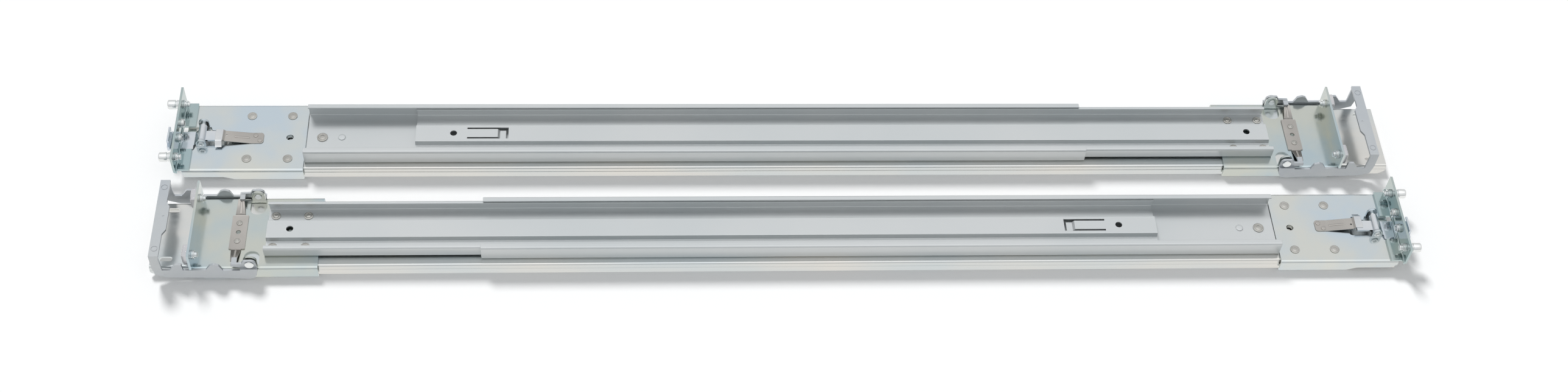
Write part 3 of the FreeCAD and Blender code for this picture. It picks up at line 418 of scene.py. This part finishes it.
PEG_SPREAD = 22.225
MOUNT_HEIGHT = 7.1
bar_steel = plated("turned_bar", (0.76, 0.79, 0.80), (0.84, 0.85, 0.84), rough=0.13,
                   spread=0.04, patch=60.0, lines=200.0, grain=0.02)
peg = turned("peg_pattern", [
    (-10.5, 2.55), (-10.44, 2.75), (-10.2, 2.98), (-9.9, 3.1), (-9.6, 3.15), (-5.5, 3.15),
    (-5.2, 3.0), (-5.15, 2.55), (-4.7, 2.5), (-4.6, 2.95), (-4.4, 3.05), (-1.5, 3.05),
    (-1.5, 2.1), (0.0, 2.1), (0.0, 2.9), (0.12, 3.05), (0.66, 3.05), (0.8, 2.9),
    (0.84, 2.35), (1.06, 2.35), (1.1, 2.8), (1.22, 2.95), (1.66, 2.95), (1.8, 2.8),
    (1.8, 1.7), (2.08, 1.7), (2.2, 2.05), (2.3, 2.1), (2.7, 2.1), (2.8, 2.0), (2.82, 1.65),
    (3.02, 1.65), (3.05, 1.98), (3.15, 2.08), (3.5, 2.05), (3.72, 1.85), (3.86, 1.5),
    (3.9, 1.0)])
for hand, side in HANDS:
    pegs = repeated(peg, hand + "_mounting_pegs_turned",
                    [(on_rail(side, 0, across, MOUNT_HEIGHT), (side, 0, 0))
                     for across in (-PEG_SPREAD, PEG_SPREAD)])
    fitted(pegs, hand + "_mounting_pegs", "rails_fixed", bar_steel)
discard(peg)

# --------------------------------------------------------- threaded inserts
# Two clinched inserts between the pegs, 12.7 mm apart, with a ribbed barrel
# behind the sheet and a bore right through for a thread.

INSERT_SPREAD = 6.35
insert = turned("insert_pattern", [
    (-1.5, 1.6), (-1.5, 2.5), (0.0, 2.5), (0.0, 2.9), (0.12, 3.05), (0.55, 3.05),
    (0.68, 2.9), (0.72, 2.45), (0.92, 2.45), (0.97, 2.85), (1.1, 2.98), (1.45, 2.95),
    (1.55, 2.8), (1.6, 2.35), (1.78, 2.35), (1.83, 2.65), (1.95, 2.78), (2.25, 2.6),
    (2.4, 2.3), (2.4, 1.85), (2.15, 1.6), (-1.5, 1.6)], hollow=True)
for hand, side in HANDS:
    inserts = repeated(insert, hand + "_threaded_inserts_turned",
                       [(on_rail(side, 0, across, MOUNT_HEIGHT), (side, 0, 0))
                        for across in (-INSERT_SPREAD, INSERT_SPREAD)])
    fitted(inserts, hand + "_threaded_inserts", "rails_fixed", bar_steel)
discard(insert)

# ------------------------------------------------------------ bracket rivets
# Rivets in the front bracket, the guide and the extension: stainless, set by a
# punch that leaves a coined ring and a nub in every head.

rivet_steel = plated("rivet_satin", (0.46, 0.45, 0.42), (0.56, 0.55, 0.52), rough=0.26,
                     patch=90.0, lines=60.0, grain=0.04, along=1.0)


def rivet_steps(foot, seat, shank, radius, height):
    """Shank, head, coined ring and nub of one rivet, in millimetres."""
    top = seat + height
    return [(foot, shank), (seat, shank), (seat, radius - 0.08), (seat + 0.1, radius),
            (top - 0.22, radius), (top - 0.06, radius - 0.14), (top, radius - 0.34),
            (top, radius * 0.74), (top - 0.2, radius * 0.68), (top - 0.24, radius * 0.5),
            (top - 0.1, radius * 0.42), (top - 0.02, radius * 0.32), (top, radius * 0.2),
            (top, radius * 0.1)]


front_rivet = turned("front_rivet_pattern", rivet_steps(-3.0, 0.0, 2.1, 3.1, 0.6))
guide_rivet = turned("guide_rivet_pattern", rivet_steps(-3.0, -0.4, 2.1, 3.5, 0.7))
channel_rivet = turned("channel_rivet_pattern", rivet_steps(-1.4, 1.1, 1.9, 2.9, 0.75))
for hand, side in HANDS:
    rear = hand + "_extension"
    for node, body, pattern, spots in (
        ("front_bracket_rivets", "rails_fixed", front_rivet,
         [on_rail(side, x, y, 0) for x in (43.8, 70.3) for y in (-18.1, 18.1)]),
        ("guide_channel_rivet", "rails_fixed", guide_rivet, [on_rail(side, 91.2, 0, 0)]),
        ("extension_rivets", rear, channel_rivet,
         [on_rail(side, x, y, 0, True) for x in (700.75, 721.2) for y in (-12.25, 12.25)]),
    ):
        heads = repeated(pattern, hand + "_" + node + "_set",
                         [(spot, (0, 0, 1)) for spot in spots])
        fitted(heads, hand + "_" + node, body, rivet_steel)
for pattern in (front_rivet, guide_rivet, channel_rivet):
    discard(pattern)

# ------------------------------------------------------------------ hook pin
# Pin of the hook lever, turned from bar and bright plated.  It is headed over
# both ears, and each head is a dished cup.

PIN_X = 13.8
PIN_HEIGHT = 3.6
pin = turned("hook_pin_pattern", [
    (-7.7, 0.4), (-7.9, 0.85), (-8.8, 0.95), (-9.12, 1.2), (-9.2, 1.6), (-9.15, 2.05),
    (-8.95, 2.3), (-8.6, 2.3), (-8.5, 2.2), (-8.5, 1.5), (10.3, 1.5), (10.3, 2.2),
    (10.4, 2.3), (10.75, 2.3), (10.95, 2.05), (11.0, 1.6), (10.92, 1.2), (10.6, 0.95),
    (9.7, 0.85), (9.5, 0.4)])
for hand, side in HANDS:
    pins = repeated(pin, hand + "_hook_pin_turned",
                    [(on_rail(side, PIN_X, 0, PIN_HEIGHT), (0, 1, 0))])
    fitted(pins, hand + "_hook_pin", "rails_fixed", bar_steel)
discard(pin)

# ---------------------------------------------------------------- hook lever
# Hook lever: a bright plated pressing rolled round its pin, with the hook in
# front of the flange and a flat tail under the spring.

hook_steel = plated("hook_bright", (0.62, 0.68, 0.74), (0.72, 0.74, 0.76), rough=0.14,
                    patch=40.0, lines=30.0, grain=0.02, along=0.5)
for hand, side in HANDS:
    lever = cad_copy(hand + "_hook_lever", hand + "_hook_lever_sheet")
    eased(lever, 0.00025)
    fitted(lever, hand + "_hook_lever", hand + "_hook", hook_steel)

# --------------------------------------------------------------- hook spring
# Leaf spring on the hook's tail: stainless strip with a stiffening bead, a
# locating hole and a finger wing, held by two small rivets.  The wing is the
# same stainless, given a paler, bluer colour as a painted highlight for the
# bright sky that its bent face reflects.

spring_steel = plated("spring_stainless", (0.44, 0.42, 0.395), (0.51, 0.485, 0.455),
                      rough=0.30, patch=40.0, lines=30.0, grain=0.02, along=0.5)
# Paler, bluer copy of the spring stainless: a painted highlight on the wing.
wing_painted_highlight = plated("spring_wing_painted_highlight", (0.62, 0.65, 0.69), (0.72, 0.73, 0.73), rough=0.18,
                    patch=60.0, lines=30.0, grain=0.02, along=0.5)


def bead(name, length, half_width, height):
    """A pressed rib: a disc stretched to a slot, pulled up and drawn in."""
    bpy.ops.object.select_all(action="DESELECT")
    bpy.ops.mesh.primitive_circle_add(vertices=24, radius=half_width * MM, fill_type="NGON",
                                      location=(0, 0, -0.1 * MM))
    bpy.ops.object.transform_apply(location=True, rotation=True, scale=True)
    rib = bpy.context.object
    rib.name = name
    bpy.ops.object.mode_set(mode="EDIT")
    pick(rib, lambda corner: corner.co.x > 0.00001, "VERT")
    bpy.ops.transform.translate(value=((length - 2 * half_width) * MM, 0, 0))
    bpy.ops.mesh.select_all(action="SELECT")
    for rise, draw in ((0.1 + height * 0.55, 0.96), (height * 0.35, 0.8), (height * 0.1, 0.5)):
        bpy.ops.mesh.extrude_region_move(TRANSFORM_OT_translate={"value": (0, 0, rise * MM)})
        middle = (length / 2 - half_width) * MM
        bpy.ops.transform.resize(value=(1 - (1 - draw) * 2 * half_width / length, draw, 1),
                                 center_override=(middle, 0, 0))
    bpy.ops.mesh.select_all(action="SELECT")
    bpy.ops.mesh.normals_make_consistent(inside=False)
    bpy.ops.object.mode_set(mode="OBJECT")
    bpy.ops.object.shade_smooth_by_angle(angle=math.radians(50))
    return rib


def bent_strip(name, places, width):
    """A flat strip carried through each place in turn, from its tail to its tip."""
    bpy.ops.object.select_all(action="DESELECT")
    first, second = places[:2]
    bpy.ops.mesh.primitive_plane_add(size=1, location=(first + second) / 2)
    strip = bpy.context.object
    strip.name = name
    strip.scale = (abs(second.x - first.x), width, 1)
    bpy.ops.object.transform_apply(location=True, rotation=True, scale=True)
    bpy.ops.object.mode_set(mode="EDIT")
    pick(strip, lambda edge: all(abs(end.co.x - second.x) < 0.00001 for end in edge.verts))
    for here, there in zip(places[1:], places[2:]):
        bpy.ops.mesh.extrude_edges_move(TRANSFORM_OT_translate={"value": there - here})
    bpy.ops.object.mode_set(mode="OBJECT")
    return strip


LEAF_BENDS = ((53.3, 0), (45.5, 0), (28.2, 2.35), (27.0, 3.85), (22.6, 3.85))
WING_BENDS = ((0.7, -0.35), (1.5, -1.65), (1.7, -0.9))
LEAF_WIDTH = 0.0087
LEAF_SHEET = 0.0006
small_rivet = turned("small_rivet_pattern", [
    (0.0, 1.0), (0.6, 1.0), (0.6, 1.55), (0.7, 1.6), (0.85, 1.55), (0.95, 1.35),
    (0.99, 1.0), (1.0, 0.5)], sides=24)
for hand, side in HANDS:
    wing_side = -1 if side > 0 else 1
    middle = wing_side * 1.0
    leaf = bent_strip(hand + "_hook_spring_leaf",
                      [on_rail(side, along, middle, height) for along, height in LEAF_BENDS],
                      LEAF_WIDTH)
    bpy.ops.object.mode_set(mode="EDIT")
    tail = on_rail(side, 53.3, 0, 0).x
    pick(leaf, lambda corner: abs(corner.co.x - tail) < 0.0001, "VERT")
    bpy.ops.mesh.bevel(offset=0.002, segments=5, affect="VERTICES")
    rim = on_rail(side, 0, middle + wing_side * 4.35, 0).y
    hump = on_rail(side, 27.2, 0, 0).x
    pick(leaf, lambda edge: all(abs(end.co.y - rim) < 0.0001
                                and (end.co.x - hump) * side < 0 for end in edge.verts))
    for out, down in WING_BENDS:
        bpy.ops.mesh.extrude_edges_move(TRANSFORM_OT_translate={
            "value": (0, wing_side * out * MM, down * MM)})
    bends = [on_rail(side, along, 0, 0).x for along in (45.5, 28.2)]
    pick(leaf, lambda edge: any(all(abs(end.co.x - bend) < 0.0001 for end in edge.verts)
                                for bend in bends))
    bpy.ops.mesh.bevel(offset=0.0006, segments=3, affect="EDGES")
    bpy.ops.object.mode_set(mode="OBJECT")
    thick = leaf.modifiers.new("sheet", "SOLIDIFY")
    thick.thickness = LEAF_SHEET
    thick.offset = 1
    bpy.ops.object.modifier_apply(modifier=thick.name)
    hole = turned("hook_spring_hole", [(-3.0, 0.6), (7.0, 0.6)], sides=20)
    hole.data.transform(Matrix.Translation(on_rail(side, 29.6, -0.4 * side, 0)))
    cut_out(leaf, hole)
    eased(leaf, 0.00012)
    start = on_rail(side, 43.6, middle, 0.88)
    slope = Vector((-side * 17.3, 0, 2.35)).normalized()
    rib = bead("hook_spring_bead", 10.0, 0.7, 0.25)
    rib.data.transform(Matrix.Translation(start) @ Matrix((
        slope, Vector((0, -side, 0)), slope.cross(Vector((0, -side, 0))))).transposed().to_4x4())
    leaf = joined([leaf, rib], hand + "_hook_spring_leaf")
    fitted(leaf, hand + "_hook_spring", "rails_fixed", spring_steel)
    # Faces ahead of the hump, on the wing, take the painted highlight colour.
    leaf.data.materials.append(wing_painted_highlight)
    for face in leaf.data.polygons:
        if (face.center.x - on_rail(side, 27.6, 0, 0).x) * side < 0:
            face.material_index = 1
    heads = repeated(small_rivet, hand + "_hook_spring_rivets_set",
                     [(on_rail(side, 47.9, middle - wing_side * 2.1, 0), (0, 0, 1)),
                      (on_rail(side, 50.9, middle + wing_side * 1.9, 0), (0, 0, 1))])
    fitted(heads, hand + "_hook_spring_rivets", "rails_fixed", spring_steel)
discard(small_rivet)

# ---------------------------------------------------- guide and extension
# Guide channel and extension channel: folded strip with a smooth light grey
# zinc coat that is still metal underneath.  The guide carries a half-pierced
# dimple that stops the extension.

grey_coat = plated("grey_coat", (0.61, 0.64, 0.65), (0.645, 0.665, 0.67), metal=0.6,
                   rough=0.30, spread=0.02, patch=10.0, lines=24.0, grain=0.004)
dimple = turned("dimple_pattern", [
    (-0.5, 2.4), (-0.02, 2.4), (0.12, 2.33), (0.25, 2.1), (0.32, 1.8), (0.36, 1.2),
    (0.37, 0.5)])
for hand, side in HANDS:
    guide = cad_copy(hand + "_guide_channel", hand + "_guide_channel_strip")
    eased(guide, 0.00015)
    stop = repeated(dimple, "guide_stop", [(on_rail(side, 103.9, 0, -0.06), (0, 0, 1))])
    guide = joined([guide, stop], hand + "_guide_channel_strip")
    fitted(guide, hand + "_guide_channel", "rails_fixed", grey_coat)
    extension = cad_copy(hand + "_extension_channel", hand + "_extension_channel_strip")
    eased(extension, 0.00015)
    fitted(extension, hand + "_extension_channel", hand + "_extension", grey_coat)
discard(dimple)

# -------------------------------------------------------------- rear bracket
# Rear bracket: the same bright sheet as the front one, with its flange folded
# up in one piece and an ear on each side for the gate.

WINDOW_RADIUS = 4.6
WINDOW_CORNERS = ((730.85, 733.2), (736.15, 733.8))
rear_steel = plated("rear_zinc", (0.49, 0.58, 0.62), (0.60, 0.62, 0.57), rough=0.17,
                    spread=0.03, patch=28.0, lines=14.0, grain=0.02, along=0.6)
for hand, side in HANDS:
    sheet = cad_copy(hand + "_rear_bracket", hand + "_rear_bracket_sheet")
    corners = []
    for end in (-1, 1):
        for along, middle in WINDOW_CORNERS:
            bpy.ops.object.select_all(action="DESELECT")
            bpy.ops.mesh.primitive_cube_add(
                size=1, location=on_rail(side, along, end * 16.7, -0.7, True))
            corner = bpy.context.object
            corner.scale = (4.7 * MM, WINDOW_RADIUS * MM, 1.4 * MM)
            bpy.ops.object.transform_apply(location=True, rotation=True, scale=True)
            arc = turned("window_arc", [(-3.0, WINDOW_RADIUS), (2.0, WINDOW_RADIUS)],
                         sides=64)
            arc.data.transform(Matrix.Translation(on_rail(side, middle, end * 19.1, 0, True)))
            cut_out(corner, arc)
            corners.append(corner)
    corners = joined(corners, "window_corners")
    weld = sheet.modifiers.new("window_corners", "BOOLEAN")
    weld.object = corners
    weld.operation = "UNION"
    bpy.context.view_layer.objects.active = sheet
    bpy.ops.object.modifier_apply(modifier=weld.name)
    discard(corners)
    eased(sheet, 0.0002)
    fitted(sheet, hand + "_rear_bracket", hand + "_extension", rear_steel)

# ---------------------------------------------------- square blocks and screws
# Square locating blocks behind the rear flange, milled and satin plated, each
# held by a screw whose washer and thread show in front of the flange.

block_steel = plated("block_satin", (0.60, 0.60, 0.62), (0.70, 0.69, 0.70), metal=0.9,
                     rough=0.27, patch=60.0, lines=20.0, grain=0.008, along=1.0)
screw = turned("screw_pattern", [
    (765.3, 1.1), (765.35, 1.6), (765.6, 1.9), (765.8, 1.75), (765.95, 1.75), (766.1, 2.08),
    (766.35, 2.08), (766.5, 1.75), (766.65, 1.75), (766.8, 2.1), (767.1, 2.1), (767.2, 2.4),
    (767.25, 2.7), (767.4, 2.92), (767.8, 2.95), (767.95, 2.85), (768.0, 2.3),
    (768.2, 2.3), (768.25, 2.85), (768.4, 2.95), (768.85, 2.95), (769.0, 2.85),
    (769.0, 2.1), (774.5, 2.1)])
screw.data.transform(Matrix.Translation((0, 0, -0.7705)))
for hand, side in HANDS:
    rear = hand + "_extension"
    blocks = cad_copy(hand + "_square_blocks", hand + "_square_blocks_milled")
    eased(blocks, 0.0003)
    fitted(blocks, hand + "_square_blocks", rear, block_steel)
    screws = repeated(screw, hand + "_block_screws_turned",
                      [(on_rail(side, 770.5, across, MOUNT_HEIGHT, True), (side, 0, 0))
                       for across in (-PEG_SPREAD, PEG_SPREAD)])
    fitted(screws, hand + "_block_screws", rear, bar_steel)
discard(screw)

# ----------------------------------------------------------------- gate pins
# Gate pins: one in each ear of the rear bracket, turned from bar and bright
# plated, and riveted over the gate's arm.

for hand, side in HANDS:
    pins = cad_copy(hand + "_gate_pins", hand + "_gate_pins_turned")
    eased(pins, 0.0003)
    fitted(pins, hand + "_gate_pins", hand + "_extension", bar_steel)

# --------------------------------------------------------------- gate spring
# Gate spring: a stainless plate with rounded corners, riveted down at its
# middle.  An arm with a pressed bead reaches to each side of the gate.

GATE_SPRING_X = 743.75
GATE_SPRING_RISE = 2.6 / 11.4
ARM_ROOT = 14.0


def round_corners(piece, spots, radius, steps=5):
    """Rounds the upright edges of a sheet that stand at the given places."""
    bpy.ops.object.select_all(action="DESELECT")
    piece.select_set(True)
    bpy.context.view_layer.objects.active = piece
    bpy.ops.object.mode_set(mode="EDIT")

    def upright_at_spot(edge):
        one, two = (corner.co for corner in edge.verts)
        if abs(one.z - two.z) < 0.0003:
            return False
        return any((one.xy - spot.xy).length < 0.0005 and (two.xy - spot.xy).length < 0.0005
                   for spot in spots)

    pick(piece, upright_at_spot)
    bpy.ops.mesh.bevel(offset=radius, segments=steps, affect="EDGES")
    bpy.ops.object.mode_set(mode="OBJECT")


plate_rivet = turned("plate_rivet_pattern", rivet_steps(-1.4, 0.8, 1.2, 1.9, 0.5), sides=28)
for hand, side in HANDS:
    leaf = cad_copy(hand + "_gate_spring", hand + "_gate_spring_leaf")
    round_corners(leaf, [on_rail(side, x, y, 0, True) for x in (738.5, 748.5)
                         for y in (-13.2, 13.2, -12.9, 12.9, -13.3, 13.3)], 0.0007, 3)
    bpy.ops.object.mode_set(mode="EDIT")
    pick(leaf, lambda corner: abs(corner.co.y - on_rail(side, 0, 0, 0).y) > 0.02, "VERT")
    bpy.ops.transform.translate(value=(side * 1.0 * MM, 0, 0))
    bpy.ops.object.mode_set(mode="OBJECT")
    eased(leaf, 0.00015)
    line = on_rail(side, 0, 0, 0).y
    for end in (-1, 1):
        arm = leaf.copy()
        arm.data = leaf.data.copy()
        scene.collection.objects.link(arm)
        root = line + end * ARM_ROOT * MM
        for piece, keep in ((arm, end), (leaf, -end)):
            bpy.ops.object.select_all(action="DESELECT")
            piece.select_set(True)
            bpy.context.view_layer.objects.active = piece
            bpy.ops.object.mode_set(mode="EDIT")
            bpy.ops.mesh.select_all(action="SELECT")
            bpy.ops.mesh.bisect(plane_co=(0, root, 0), plane_no=(0, -keep, 0),
                                use_fill=True, clear_outer=True)
            bpy.ops.object.mode_set(mode="OBJECT")
        rib = bead("gate_spring_bead", 8.6, 0.75, 0.28)
        lean = Vector((0, end, GATE_SPRING_RISE)).normalized()
        up = Vector((0, -end * 2.6, 11.4)).normalized()
        basis = Matrix((lean, up.cross(lean), up)).transposed().to_4x4()
        spot = on_rail(side, GATE_SPRING_X, end * 15.2, 1.28, True)
        rib.data.transform(Matrix.Translation(spot) @ basis)
        arm = joined([arm, rib], hand + "_gate_spring_arm_" + ("near" if end < 0 else "far"))
        arm.data.materials.clear()
        arm.data.materials.append(spring_steel)
        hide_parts(hand + "_gate_spring")
        middle = on_rail(side, GATE_SPRING_X, 0, 1, True)
        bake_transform(arm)
    fitted(leaf, hand + "_gate_spring", hand + "_extension", spring_steel)
    heads = repeated(plate_rivet, hand + "_gate_spring_rivets_set",
                     [(on_rail(side, GATE_SPRING_X, across, 0, True), (0, 0, 1))
                      for across in (-7.1, 7.1)])
    fitted(heads, hand + "_gate_spring_rivets", hand + "_extension", rivet_steel)
discard(plate_rivet)

# ---------------------------------------------------------------- gate lever
# Gate lever: pressed from thick sheet with a satin pale coat.  Two half-sheared
# buttons on the bar and a punch mark in its belly come from the press tool.

BUTTON_X = 790.3
BUTTON_SPREAD = 24.2
gate_coat = plated("gate_satin", (0.50, 0.53, 0.56), (0.56, 0.58, 0.585), metal=0.5,
                   rough=0.36, spread=0.05, patch=20.0, lines=30.0, grain=0.03, along=0.5)
for hand, side in HANDS:
    gate = cad_copy(hand + "_gate_lever", hand + "_gate_lever_sheet")
    for across in (-BUTTON_SPREAD, BUTTON_SPREAD):
        ring = turned("gate_button_ring", [(15.95, 1.8), (17.0, 1.8), (17.0, 2.05),
                                           (15.95, 2.05), (15.95, 1.8)], hollow=True)
        ring.data.transform(Matrix.Translation(on_rail(side, BUTTON_X, across, 0, True)))
        cut_out(gate, ring)
    mark = turned("gate_mark", [(15.95, 0.4), (16.0, 0.6), (17.0, 0.65)], sides=16)
    mark.data.transform(Matrix.Translation(on_rail(side, 788.0, -1.2 * side, 0, True)))
    cut_out(gate, mark)
    eased(gate, 0.0002)
    fitted(gate, hand + "_gate_lever", hand + "_gate", gate_coat)

# ------------------------------------------------------------- release lever
# Release lever on the inner member: flat sheet with the gate's coat, turned by
# a finger to let the inner member out.

for hand, side in HANDS:
    release = cad_copy(hand + "_release_lever", hand + "_release_lever_sheet")
    eased(release, 0.0002)
    fitted(release, hand + "_release_lever", hand + "_release", gate_coat)
